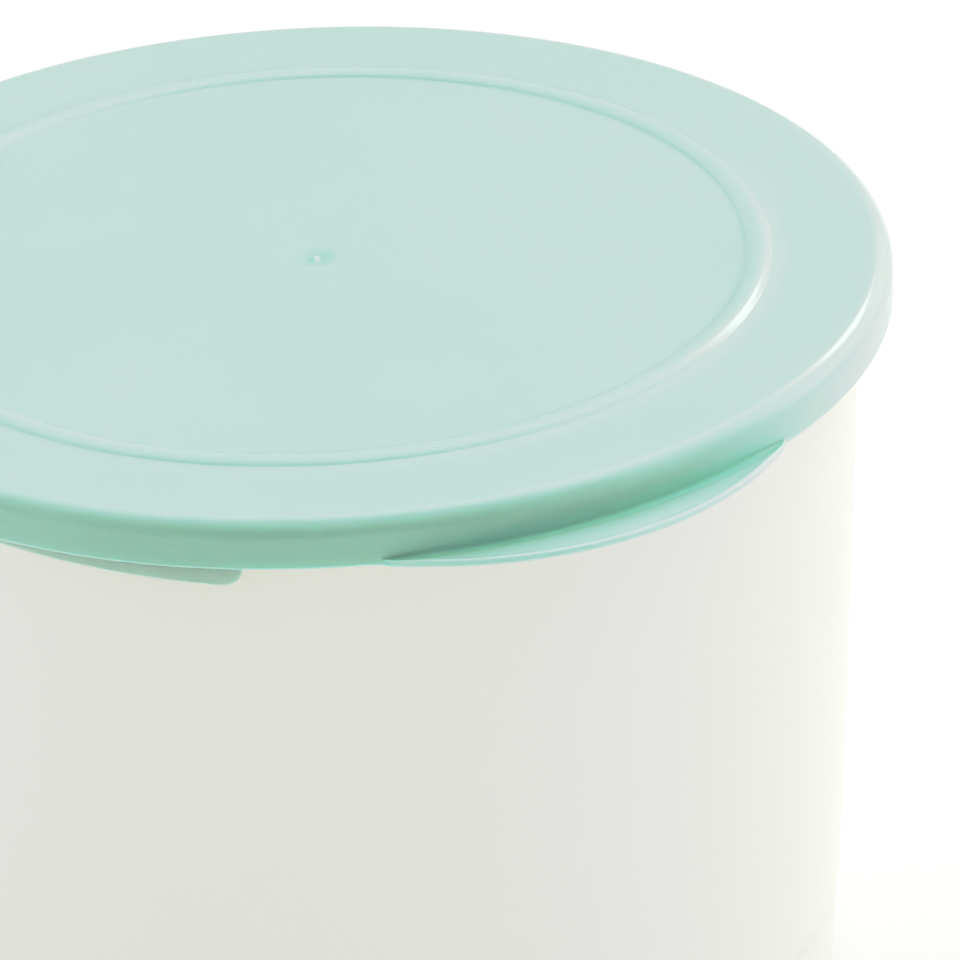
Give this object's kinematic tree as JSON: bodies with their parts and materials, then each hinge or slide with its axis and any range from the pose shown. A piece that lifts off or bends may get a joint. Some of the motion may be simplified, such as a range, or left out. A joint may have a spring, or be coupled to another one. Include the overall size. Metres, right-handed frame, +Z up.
{
  "type": "food container",
  "caption": "Round, slightly tapered food tub with a press-on snap lid; the lid has a raised ring, a rounded skirt, a side lip and a crescent pull tab.",
  "frame": {"origin": "centre of the tub's flat underside", "axes": "+Z up through the lid, -Y towards the lid's pull tab, +X to the right of someone facing the tab"},
  "size_m": [0.1804, 0.1871, 0.1283],
  "materials": {
    "natural_plastic": "milky translucent polypropylene, semi-gloss",
    "mint_plastic": "pastel mint polypropylene, glossy"
  },
  "bodies": {
    "tub": {"container_body": "natural_plastic"},
    "lid": {"lid": "mint_plastic"}
  },
  "joints": [
    {"name": "lid_lift", "type": "slide", "parent": "tub", "child": "lid", "axis": [0, 0, 1], "range_m": [0, 0.08]}
  ]
}
